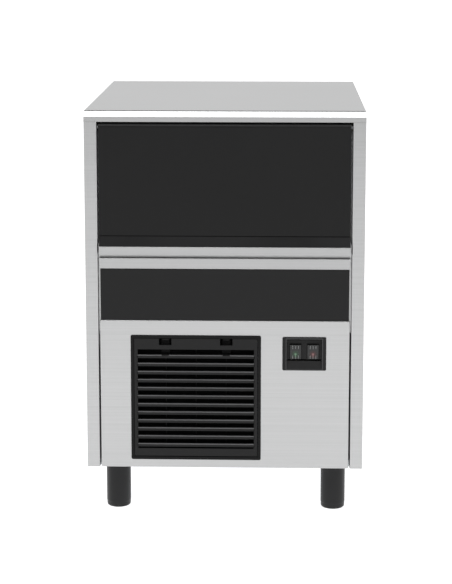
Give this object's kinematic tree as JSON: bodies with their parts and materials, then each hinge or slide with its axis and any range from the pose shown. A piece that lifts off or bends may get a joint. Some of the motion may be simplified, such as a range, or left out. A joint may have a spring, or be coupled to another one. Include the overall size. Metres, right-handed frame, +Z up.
{
  "type": "hollow ice cube machine",
  "caption": "Under-counter machine that freezes hollow ice cubes on dipped fingers and stores them in an insulated bin behind a lift-up door.",
  "frame": {"origin": "on the floor, in the middle of the machine's bounding box", "axes": "+Z up, +X to the right seen from the front, the door faces -Y"},
  "size_m": [0.5, 0.6, 0.742],
  "materials": {
    "stainless": "horizontal fine brush",
    "zinc_steel": "dull zinc",
    "black_plastic": "satin",
    "pale_plastic": "smooth",
    "foam": "foam",
    "copper": "drawn",
    "aluminium": "mill",
    "nickel_plate": "satin",
    "black_paint": "gloss paint",
    "rubber": "matte",
    "brass": "machined",
    "green_lens": "translucent",
    "red_lens": "translucent"
  },
  "bodies": {
    "cabinet": {"worktop": "stainless", "lid_insulation": "foam", "side_panel_left": "stainless", "side_panel_right": "stainless", "rear_panel": "zinc_steel", "panel_screws": "zinc_steel", "base_tray": "zinc_steel", "sill_rail": "stainless", "trim_band": "stainless", "fascia_strip": "black_plastic", "front_panel": "stainless", "grille_frame": "black_plastic", "switch_bezel": "black_plastic", "switch_bodies": "black_plastic", "door_bushes": "pale_plastic", "bin_liner": "pale_plastic", "bin_insulation": "foam", "bin_rails": "zinc_steel", "bin_drain": "pale_plastic", "drain_outlet": "pale_plastic", "cable_gland": "black_plastic", "module_bracket": "stainless", "evaporator": "nickel_plate", "evaporator_coil": "copper", "evaporator_cover": "pale_plastic", "tilt_motor": "black_plastic", "bin_thermostat": "copper", "compressor": "black_paint", "compressor_grommets": "rubber", "start_relay": "black_plastic", "condenser": "aluminium", "fan_shroud": "zinc_steel", "fan_motor": "aluminium", "motor_bracket": "zinc_steel", "control_box": "black_plastic", "filter_drier": "copper", "drier_clip": "zinc_steel", "discharge_tube": "copper", "liquid_tube": "copper", "suction_tube": "copper", "hot_gas_valve": "brass", "water_valve": "brass", "fill_pipe": "pale_plastic"},
    "door": {"door_panel": "black_plastic", "door_liner": "pale_plastic", "door_handle": "stainless", "door_pins": "zinc_steel"},
    "green_rocker": {"green_rocker": "green_lens"},
    "red_rocker": {"red_rocker": "red_lens"},
    "grille_insert": {"grille_insert": "black_plastic", "air_filter": "foam"},
    "fan": {"fan_blade": "pale_plastic"},
    "basin": {"water_basin": "pale_plastic", "paddle_motor": "black_plastic"},
    "paddles": {"paddle_shaft": "pale_plastic"},
    "curtain": {"splash_curtain": "pale_plastic"},
    "leg_front_left": {"leg_front_left": "black_plastic"},
    "leg_front_right": {"leg_front_right": "black_plastic"},
    "leg_rear_left": {"leg_rear_left": "black_plastic"},
    "leg_rear_right": {"leg_rear_right": "black_plastic"}
  },
  "joints": [
    {"name": "door_hinge", "type": "hinge", "parent": "cabinet", "child": "door", "pos_m": [0, -0.286, 0.7123], "axis": [-1, 0, 0], "range_deg": [0, 90]},
    {"name": "green_switch", "type": "hinge", "parent": "cabinet", "child": "green_rocker", "pos_m": [0.12765, -0.2899, 0.307], "axis": [1, 0, 0], "range_deg": [-12, 0]},
    {"name": "red_switch", "type": "hinge", "parent": "cabinet", "child": "red_rocker", "pos_m": [0.15915, -0.2899, 0.307], "axis": [1, 0, 0], "range_deg": [-12, 0]},
    {"name": "grille_tilt", "type": "hinge", "parent": "cabinet", "child": "grille_insert", "pos_m": [-0.052, -0.2939, 0.1139], "axis": [1, 0, 0], "range_deg": [0, 50]},
    {"name": "fan_spin", "type": "hinge", "parent": "cabinet", "child": "fan", "pos_m": [-0.052, 0, 0.2185], "axis": [0, 1, 0], "continuous": true},
    {"name": "basin_tilt", "type": "hinge", "parent": "cabinet", "child": "basin", "pos_m": [0, 0.219, 0.6], "axis": [1, 0, 0], "range_deg": [0, 60]},
    {"name": "paddle_rock", "type": "hinge", "parent": "basin", "child": "paddles", "pos_m": [0, 0.122, 0.596], "axis": [1, 0, 0], "range_deg": [-20, 20]},
    {"name": "curtain_swing", "type": "hinge", "parent": "cabinet", "child": "curtain", "pos_m": [0, 0.037, 0.664], "axis": [-1, 0, 0], "range_deg": [0, 60]},
    {"name": "leg_front_left_adjust", "type": "slide", "parent": "cabinet", "child": "leg_front_left", "axis": [0, 0, -1], "range_m": [0, 0.02]},
    {"name": "leg_front_right_adjust", "type": "slide", "parent": "cabinet", "child": "leg_front_right", "axis": [0, 0, -1], "range_m": [0, 0.02]},
    {"name": "leg_rear_left_adjust", "type": "slide", "parent": "cabinet", "child": "leg_rear_left", "axis": [0, 0, -1], "range_m": [0, 0.02]},
    {"name": "leg_rear_right_adjust", "type": "slide", "parent": "cabinet", "child": "leg_rear_right", "axis": [0, 0, -1], "range_m": [0, 0.02]}
  ]
}
